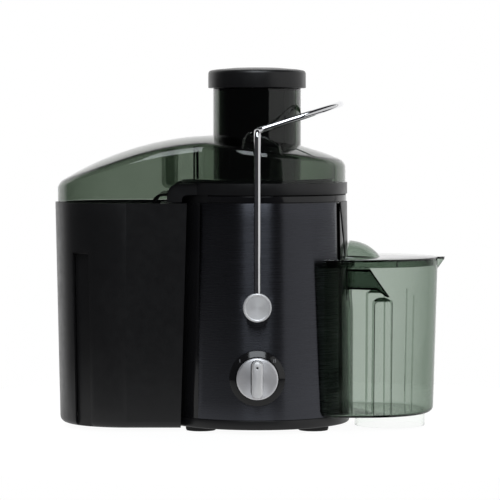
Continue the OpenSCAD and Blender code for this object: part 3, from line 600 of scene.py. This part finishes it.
def add_bezel():
    """Glossy ring whose face leans outwards, with the marks for speeds 1 and 2."""
    outline = rounded((6, -60, 0), (BEZEL_R, -60, 0), (BEZEL_R, BEZEL_EDGE, 0.7),
                      (RIDGE_R, RIDGE, 0.25), (19.4, BEZEL_EDGE, 0.3), (6, BEZEL_EDGE, 0))
    ring = lathe("ring", outline, (0, 0, KNOB_Z), "Y")
    foot_r = HOUSING_R + 0.35
    top_r = foot_r - HOUSING_DRAFT
    wall = [(0, 0), (foot_r, 0), (foot_r, 13), (top_r, 210), (0, 210)]
    ring = cut(ring, lathe("wall", wall, steps=256))
    finish_piece(ring, "knob_bezel_moulded", "bezel_silver", "base", ["knob_bezel"])

    def on_face(x, z):
        """A place on the ring's leaning face, just proud of it."""
        lean = (BEZEL_EDGE - RIDGE) / (BEZEL_R - RIDGE_R)
        return RIDGE + (math.hypot(x, z) - RIDGE_R) * lean - 0.02

    def mark(name, outline):
        rings = [[(x, on_face(x, z) + lift, z + KNOB_Z) for x, z in outline]
                 for lift in (0.4, -0.06)]
        finish_piece(loft(name, rings), name, "silver_plastic", "base", material=M["print_grey"])

    aside, up, half_w, half_l = 15.8, 16.2, 0.3, 1.5
    for name, side, shifts in (("mark_1", -1, (0,)), ("mark_2", 1, (-0.75, 0.75))):
        for k, shift in enumerate(shifts):
            x = side * aside + shift
            bar = rounded(*((x + half_w * i, up + half_l * j, 0.1)
                            for i, j in ((-1, -1), (1, -1), (1, 1), (-1, 1))), n=3)
            mark(f"{name}_{k}", bar)


# ---------- pusher ----------

def add_pusher_cap():
    """Hollow cap with a slightly domed top and a rounded rim."""
    outline = rounded((0, 332, 0), (40, 332, 1), (42.75, 329, 1), (42.75, 319.3, 0.5),
                      (35.5, 319.3, 0), (35.5, 316.3, 0.3), (45.75, 316.3, 0.6),
                      (45.75, 332.4, 3.4), (38, 333.7, 8), (20, 335.2, 12), (0, 335.6, 0))
    finish_piece(lathe("cap", outline), "pusher_cap_moulded", "black_plastic", "pusher",
                 ["pusher_cap"])


# ---------- lid ----------

# points round the lobe, along one side, round the bowl and along the other side
LID_STEPS = (64, 24, 144, 24)
LID_POINTS = sum(LID_STEPS)
LID_R = 83
LOBE_X = -119.7
LOBE_R = 67.3
DOME_X = -33
DOME_Z = -12.5
DOME_R = 285
LID_T = 2.5
# the radius of the rim's rounding, and the X at which it holds
ROUNDING = (5, 9, 8, 6)
ROUNDING_X = (-187, -70, -40, -18)
TUBE_R = 41.15
BORE_R = 38
# the lid's lower edge over the bowl, and over the container
EDGE_Z = 228.4
LOW_EDGE_Z = 210.5


def lid_plan(inset):
    """The lid's outline from the lobe's rear on, taken in by inset, which has a value per point."""
    lobe, round_part = LOBE_R - inset, LID_R - inset
    corner = np.sqrt(round_part ** 2 - lobe ** 2)
    open_angle = np.arctan2(lobe, -corner)
    part = np.repeat(range(4), LID_STEPS)
    share = np.concatenate([np.arange(n) / n for n in LID_STEPS])
    around_lobe = np.pi / 2 + np.pi * share
    around_main = -open_angle + 2 * open_angle * share
    x = np.choose(part, [LOBE_X + lobe * np.cos(around_lobe), LOBE_X + (-corner - LOBE_X) * share,
                         round_part * np.cos(around_main), -corner + (LOBE_X + corner) * share])
    y = np.choose(part, [lobe * np.sin(around_lobe), -lobe, round_part * np.sin(around_main), lobe])
    return x, y


def lid_solid(name, inset, flare):
    """What the lid's outside holds, taken in by inset, down to Z 200.

    flare is the radius of the fillet that carries the dome up into the feed tube. The top is a
    mesh through the rim, rings of points round the tube and a grid of points elsewhere.
    """
    radius, grid = DOME_R - inset, 4.0

    def height(x, y):
        z = DOME_Z + np.sqrt(radius ** 2 - (x - DOME_X) ** 2 - y ** 2)
        if flare:
            near = np.clip(np.hypot(x, y) - TUBE_R, 0, flare)
            z = z + flare - np.sqrt(flare ** 2 - (flare - near) ** 2)
        return z

    x, y = lid_plan(np.full(LID_POINTS, float(inset)))
    fillet = np.interp(x, ROUNDING_X, ROUNDING) - inset * 0.9
    rings = [np.stack([x, y, np.full(LID_POINTS, 200.0)], 1)]
    for a in np.radians(np.linspace(0, 90, 9)):
        x, y = lid_plan(inset + fillet * (1 - math.cos(a)))
        rings.append(np.stack([x, y, height(x, y) - fillet * (1 - math.sin(a))], 1))
    rim = rings[-1][:, :2]
    flared = (TUBE_R + flare * k for k in (0.0, 0.04, 0.13, 0.3, 0.55, 1.0, 1.6))
    inside = [(r * math.cos(a), r * math.sin(a))
              for r in (36, 40, *flared, 60)
              for a in np.linspace(0, 2 * math.pi, 144, endpoint=False)]
    for gx in np.arange(-180, 76, grid):
        for gy in np.arange(-76, 76.1, grid):
            clear = math.hypot(gx, gy) > 64 and np.min(np.hypot(*(rim - (gx, gy)).T)) > 3
            if clear and (math.hypot(gx, gy) < LID_R - 14
                          or gx > LOBE_X and abs(gy) < LOBE_R - 12 and gx < 0
                          or math.hypot(gx - LOBE_X, gy) < LOBE_R - 12):
                inside.append((gx, gy))
    flat = [Vector(p) for p in (*rim, *inside)]
    edges = [(i, (i + 1) % LID_POINTS) for i in range(LID_POINTS)]
    places, _, faces, *_ = delaunay_2d_cdt(flat, edges, [], 1, 1e-4)
    verts = [tuple(p) for ring in rings for p in ring]
    start = len(verts)
    verts += [(p.x, p.y, float(height(p.x, p.y))) for p in places]
    top = [tuple(start + i for i in face) for face in faces]
    sides = [tuple(range(LID_POINTS))]
    for level in range(len(rings) - 1):
        for i, j in edges:
            a, b = level * LID_POINTS + i, level * LID_POINTS + j
            sides.append((a, a + LID_POINTS, b + LID_POINTS, b))
    return solid(name, verts, sides + top)


def below_lid_edge():
    """Everything under the lid's edge: level over the bowl, lower over the container."""
    outline = [(120, 150), (120, EDGE_Z)]
    outline += arc(-71.5, EDGE_Z - 11, 11, 90, 180, 14)
    outline += [(-82.5, LOW_EDGE_Z), (-220, LOW_EDGE_Z), (-220, 150)]
    return slab("below", outline, -120, 120)


def catch_outline(inset):
    """A catch's side view, taken in by inset."""
    outline = rounded((-15, 235, 0), (-13.4, 268.5, 4), (-8.5, 275, 4), (-3.2, 275.2, 0.8),
                      (-3.0, 272.8, 0.5), (3.5, 272.6, 6), (13, 268.9, 12), (21.3, 262.8, 5),
                      (22.7, 255, 5), (22.7, 235, 0))
    return inward(outline, inset)


def add_lid():
    """Clear shell with a feed tube, two catches, a guard ring round the basket and two tongues."""
    catch = slab("catch", catch_outline(0), -78, -46, edge=1.0)
    around_wire = WIRE_R + 0.35
    catch = cut(catch, lathe("wire", [(0, -90), (around_wire, -90), (around_wire, -40), (0, -40)],
                             (0, 0, SHOULDER_Z), "Y", 64))
    pocket = slab("pocket", catch_outline(1.3), -76.7, -47.3, edge=0.6)
    shell = join(lid_solid("shell", 0, 0.8), mirrored(catch, "catch_rear"), catch)
    shell = cut(shell, lid_solid("cavity", LID_T, 0), mirrored(pocket, "pocket_rear"), pocket)
    shell = cut(shell, below_lid_edge(),
                lathe("bore", [(0, 190), (39.6, 190), (39.6, 330), (0, 330)]))
    inner, outer, low, high = 71.5, 73.5, 231.5, 300
    guard = rounded((inner, low, 0.8), (outer, low, 0.8), (outer, high, 0), (inner, high, 0))
    guard = cut(lathe("guard", guard),
                slab("gap", [(-90, 200), (-50, 200), (-50, 320), (-90, 320)], -44, 44))
    tongue = slab("tongue", [(-75.5, 300), (-87.5, 300)] + arc(-81.5, 230, 6, 180, 360, 16),
                  -58, -56)
    guard = within(guard, lid_solid("room", LID_T + 0.1, 0))
    for part in (mirrored(tongue, "tongue_rear"), tongue):
        shell = join(shell, within(part, lid_solid("envelope", 1.2, 0)))
    low, high = 194, 316
    tube = rounded((BORE_R, low, 0.4), (TUBE_R, low, 1.2), (TUBE_R, high, 0.9), (39.9, high, 0.6),
                   (BORE_R, high - 2.4, 1.5))
    shell = join(shell, lathe("tube", tube))
    finish_piece(shell, "lid_moulded", "smoked_clear", "base", ["lid"])
    finish_piece(guard, "lid_guard_ring", "smoked_clear", "base", material=M["inner_clear"])


# ---------- juice jug ----------

JUG_X = 100.3
JUG_BACK_X = 50
JUG_R = 65.5
JUG_DRAFT = 4.0
JUG_Z0 = 12.5
JUG_RIM_Z = 156.5
JUG_T = 2.0
BEAK = (165.5, 0, 0)
# the hollow for the housing, and the flat wall each side of it
WRAP_R = 88.5
SIDE_X = 61.5
PLATE_GAP = 2.0
SKIRT_T = 5.4
RECESS_TURN = math.radians(12.9)
RECESS_TOP = 119.7
RECESS_DEPTH = 3.0
RECESS_HALF_W = 7.8
RIB_TURN = math.radians(48.2)
FOOT_RING = (125, 0, 0)


def jug_r(z):
    """The radius of the jug's round end at a height, with its draft."""
    return JUG_R + JUG_DRAFT * (z - JUG_Z0) / (JUG_RIM_Z - JUG_Z0)


def vessel(name, floor, top, inset, foot=0, lip=0.0):
    """The jug's drafted form, taken in by inset, with one round end and a rounded foot and lip."""
    levels = [(floor + foot * (1 - math.cos(a)), foot * (1 - math.sin(a)))
              for a in np.radians(np.linspace(0, 90, 8))] if foot else [(floor, 0)]
    levels += [(z, 0) for z in np.linspace(levels[-1][0], top - lip, 12)[1:]]
    if lip:
        levels += [(top - lip * (1 - math.sin(a)), lip * (1 - math.cos(a)))
                   for a in np.radians([30, 60, 90])]
    rings = []
    for z, pull in levels:
        r = jug_r(z) - inset - pull
        plan = arc(JUG_X, 0, r, -90, 90, 96) + [(JUG_BACK_X, r), (JUG_BACK_X, -r)]
        rings.append([(x, y, z) for x, y in plan])
    return loft(name, rings)


def round_post(name, r, z0, z1):
    """A finely turned cylinder on the motor's axis."""
    return lathe(name, [(0, z0), (r, z0), (r, z1), (0, z1)], steps=256)


def at_jug(made, turn):
    """Turns a shape and brings it from the motor's axis to the jug's."""
    made.data.transform(Matrix.Translation((JUG_X, 0, 0)) @ Matrix.Rotation(turn, 4, "Z"))
    return made


def recesses(wall):
    """The rear and the front grip recess, open at the foot, with a wall round them."""
    top, half_w = RECESS_TOP + wall, RECESS_HALF_W + wall * 0.8
    outline = rounded((-half_w, JUG_Z0 - 1, 0), (half_w, JUG_Z0 - 1, 0),
                      (half_w, top, 3.0), (-half_w, top, 3.0))
    rings = [[(x, -jug_r(z) + out, z) for x, z in outline] for out in (-5, RECESS_DEPTH + wall)]
    front = at_jug(loft("recess", rings), RECESS_TURN)
    return mirrored(front, "recess_rear"), front


def clear_of_base(name, gap, round_gap=0.0):
    """The room that the jug leaves for the housing."""
    post = round_post(name, WRAP_R + gap + round_gap, -1, 170)
    x = SIDE_X + gap
    return join(post, slab("side", [(40, 0), (x, 0), (x, 170), (40, 170)], -100, 100))


def add_jug():
    """Clear jug with a beak, a notch for the spout and two ribs, two recesses and a foot ring."""
    z0, z1 = JUG_Z0, JUG_RIM_Z
    jug = vessel("jug", z0, z1, 0, 6, 0.5)
    beak = [(0, z1 - 11), (3, z1 - 11), (10.7, z1 - 0.4), (10.4, z1), (0, z1)]
    jug = join(jug, lathe("beak", beak, BEAK))
    jug = cut(jug, clear_of_base("outside", 0), *recesses(0))
    room = vessel("room", z0 + 2.2, z1 + 1, JUG_T, 4)
    beak = [(0, z1 - 11), (1.2, z1 - 11), (9.5, z1 + 0.5), (0, z1 + 0.5)]
    room = join(room, lathe("beak_room", beak, BEAK))
    room = cut(room, clear_of_base("inside", JUG_T), *recesses(JUG_T))
    jug = cut(jug, room)
    notch = rounded((-19.5, 108.5, 19), (19.5, 108.5, 19), (19.5, 200, 0), (-19.5, 200, 0), n=16)
    jug = cut(jug, loft("notch", [[(x, y, z) for y, z in notch] for x in (70, 100)]))
    rib_z = 125
    wall = jug_r(rib_z) - JUG_T
    rib = [(62.1, z0 + 1), (64.2, z0 + 8), (wall + 1, rib_z), (wall - 1.3, rib_z)]
    for side in (-1, 1):
        jug = join(jug, at_jug(slab("rib", rib, -0.5, 0.5), RIB_TURN * side))
    inner, outer, high = 31.6, 33, z0 - 0.1
    foot = rounded((inner, 0, 0.3), (outer, 0, 0.3), (outer, high, 0), (inner, high, 0))
    foot = lathe("foot", foot, FOOT_RING)
    finish_piece(jug, "juice_jug_moulded", "smoked_clear", "jug", ["juice_jug"], M["jug_clear"])
    finish_piece(foot, "jug_foot_ring", "smoked_clear", "jug", material=M["foot_clear"])
    brow = rounded((-7.2, 0.6, 0), (7.2, 0.6, 0), (6.0, 2.4, 1.5), (2.5, 3.9, 4),
                   (-2.5, 3.9, 4), (-6.0, 2.4, 1.5))
    brow = loft("brow", [[(x, y, z + RECESS_TOP) for x, z in brow] for y in (-66.4, -61.8)])
    brow = at_jug(brow, RECESS_TURN)
    finish_piece(mirrored(brow, "brow_rear"), "jug_recess_brow_rear", "smoked_clear", "jug",
                 material=M["spout_clear"])
    finish_piece(brow, "jug_recess_brow_front", "smoked_clear", "jug", material=M["spout_clear"])


def add_jug_lid():
    """Flat cover with a skirt, four ribs and a round hood that takes the spout."""
    z1 = JUG_RIM_Z
    cover = vessel("cover", z1 + 0.1, z1 + 2, 0.1, lip=0.5)
    beak = rounded((0, z1 + 0.1, 0), (10.9, z1 + 0.1, 0), (10.9, z1 + 2, 0.5), (0, z1 + 2, 0))
    cover = join(cover, lathe("beak", beak, BEAK))
    cover = cut(cover, clear_of_base("outside", 0, PLATE_GAP))
    skirt = vessel("skirt", z1 - 5.5, z1 + 0.6, JUG_T + 0.4)
    skirt = cut(skirt, clear_of_base("skirt_outside", JUG_T + 0.4))
    hollow = vessel("hollow", z1 - 6, z1 + 1, JUG_T + SKIRT_T)
    hollow = cut(hollow, clear_of_base("skirt_inside", JUG_T + SKIRT_T))
    cover = join(cover, cut(skirt, hollow))
    for k, x in enumerate((86.7, 127.9)):
        left, right, low = x - 0.5, x + 0.5, z1 - 5.2
        rib = slab("rib", [(left, low), (right, low), (right, z1), (left, z1)], -61.5, -56)
        finish_piece(mirrored(rib, "rib_rear"), f"jug_lid_rib_rear_{k}", "smoked_clear",
                     "jug_cover")
        finish_piece(rib, f"jug_lid_rib_front_{k}", "smoked_clear", "jug_cover")

    def ball(name, r):
        """A ball about the hood's centre."""
        return lathe(name, [(0, -r), *arc(0, 0, r, -87, 87, 87), (0, r)], (86.2, 0, z1 - 19.5))

    hood = cut(ball("hood", 36.5), ball("hood_room", 34.5), round_post("clip", 87.2, 100, 250))
    upper = [(80, z1 + 0.6), (140, z1 + 0.6), (140, 200), (80, 200)]
    hood = within(hood, slab("upper", upper, -60, 60))
    cover = join(cut(cover, ball("mouth", 35.5)), hood)
    finish_piece(cover, "jug_lid_moulded", "smoked_clear", "jug_cover", ["jug_lid"],
                 M["cover_clear"])


soften_edges()
add_seam_shade_strip()
add_collar_band()
add_bail()
add_pivot_caps()
add_knob()
add_bezel()
add_pusher_cap()
add_lid()
add_jug()
add_jug_lid()


# ---------- floor, light and camera ----------

def seen_straight(tree, straight, bounced):
    """One value for what the camera sees straight or through clear plastic, one after a bounce."""
    rays = tree.nodes.new("ShaderNodeLightPath")
    bounces = tree.nodes.new("ShaderNodeMath")
    tree.links.new(rays.outputs["Diffuse Depth"], bounces.inputs[0])
    tree.links.new(rays.outputs["Glossy Depth"], bounces.inputs[1])
    choice = tree.nodes.new("ShaderNodeMapRange")
    choice.inputs["To Min"].default_value = straight
    choice.inputs["To Max"].default_value = bounced
    tree.links.new(bounces.outputs[0], choice.inputs["Value"])
    return choice.outputs["Result"]


def add_floor():
    """A round table top that glows white to the camera, so that its shadows are faint.

    After a bounce it glows behind the juicer and is dark in front, like the surroundings.
    """
    radius, steps = 0.42, 96
    mesh = bpy.data.meshes.new("floor")
    corners = [(*p, 0) for p in arc(0, 0, radius, 0, 360, steps)[:-1]]
    mesh.from_pydata(corners, [], [tuple(range(steps))])
    s = Shader("white_floor")
    s.colour(s.noise(400, 2), (0.055, 0.055, 0.055), (0.06, 0.06, 0.06))
    s.rough(s.noise(90, 3), 0.75, 0.85)
    s.set(Emission_Color=(1, 1, 1, 1))
    split = s.node("ShaderNodeSeparateXYZ")
    s.link(s.place, split.inputs["Vector"])
    fade = s.node("ShaderNodeMapRange")
    for key, value in (("From Min", -0.38), ("From Max", 0.15), ("To Min", 0.0), ("To Max", 0.95)):
        fade.inputs[key].default_value = value
    s.link(split.outputs["Y"], fade.inputs["Value"])
    brightness = seen_straight(s.tree, 0.955, 0)
    s.link(fade.outputs["Result"], brightness.node.inputs["To Max"])
    s.link(brightness, s.main.inputs["Emission Strength"])
    mesh.materials.append(s.material)
    place("floor", mesh)


def softbox(name, azimuth, elevation, distance, width, height, radiance, colour=(1, 1, 1)):
    """A rectangular soft light that faces the juicer. Azimuth 0 is the camera's side."""
    a, e = math.radians(azimuth), math.radians(elevation)
    away = Vector((math.sin(a) * math.cos(e), -math.cos(a) * math.cos(e), math.sin(e)))
    light = bpy.data.lights.new(name, "AREA")
    light.shape = "RECTANGLE"
    light.size, light.size_y = width, height
    light.energy, light.color = radiance * math.pi * width * height, colour
    lamp = place(name, light)
    lamp.location = Vector((0, 0, 0.15)) + away * distance
    lamp.rotation_mode = "QUATERNION"
    lamp.rotation_quaternion = away.to_track_quat("Z", "Y")


def add_surroundings():
    """White behind the juicer and dim in front of it, so that black plastic stays black.

    The camera sees white everywhere, straight and through clear plastic.
    """
    world = bpy.data.worlds.new("studio")
    bpy.context.scene.world = world
    world.use_nodes = True
    tree = world.node_tree
    back = tree.nodes["Background"]
    coords = tree.nodes.new("ShaderNodeTexCoord")
    split = tree.nodes.new("ShaderNodeSeparateXYZ")
    ramp = tree.nodes.new("ShaderNodeValToRGB")
    mix = tree.nodes.new("ShaderNodeMix")
    mix.data_type = "RGBA"
    tree.links.new(coords.outputs["Generated"], split.inputs["Vector"])
    tree.links.new(split.outputs["Y"], ramp.inputs["Fac"])
    front, rear = ramp.color_ramp.elements
    front.position, front.color = 0.42, (0.03, 0.03, 0.033, 1)
    rear.position, rear.color = 0.64, (1.05, 1.05, 1.05, 1)
    tree.links.new(seen_straight(tree, 0, 1), mix.inputs["Factor"])
    mix.inputs["A"].default_value = (1, 1, 1, 1)
    tree.links.new(ramp.outputs["Color"], mix.inputs["B"])
    tree.links.new(mix.outputs["Result"], back.inputs["Color"])


def add_camera():
    """Level with the lid's tube, 2.44 m in front, on a long lens."""
    distance, height, aside = 2.444, 0.280, -0.0066
    view_width, aim_drop = 0.470, 0.1156
    tilt = math.atan(aim_drop / distance)
    camera = bpy.data.cameras.new("camera")
    camera.sensor_width = 36
    camera.lens = camera.sensor_width * (distance / math.cos(tilt)) / view_width
    camera.clip_end = 50
    holder = place("camera", camera)
    holder.location = (aside, -distance, height)
    holder.rotation_euler = (math.pi / 2 - tilt, 0, 0)
    bpy.context.scene.camera = holder


bpy.context.scene.view_settings.view_transform = "Standard"
add_floor()
add_surroundings()
softbox("key", 0, 50, 1.6, 0.85, 1.3, 4.3, (0.90, 0.95, 1.0))
softbox("right", 74.5, 15, 1.3, 2.4, 1.2, 0.65)
softbox("left", -115, 30, 1.5, 0.5, 0.9, 0.4)
add_camera()
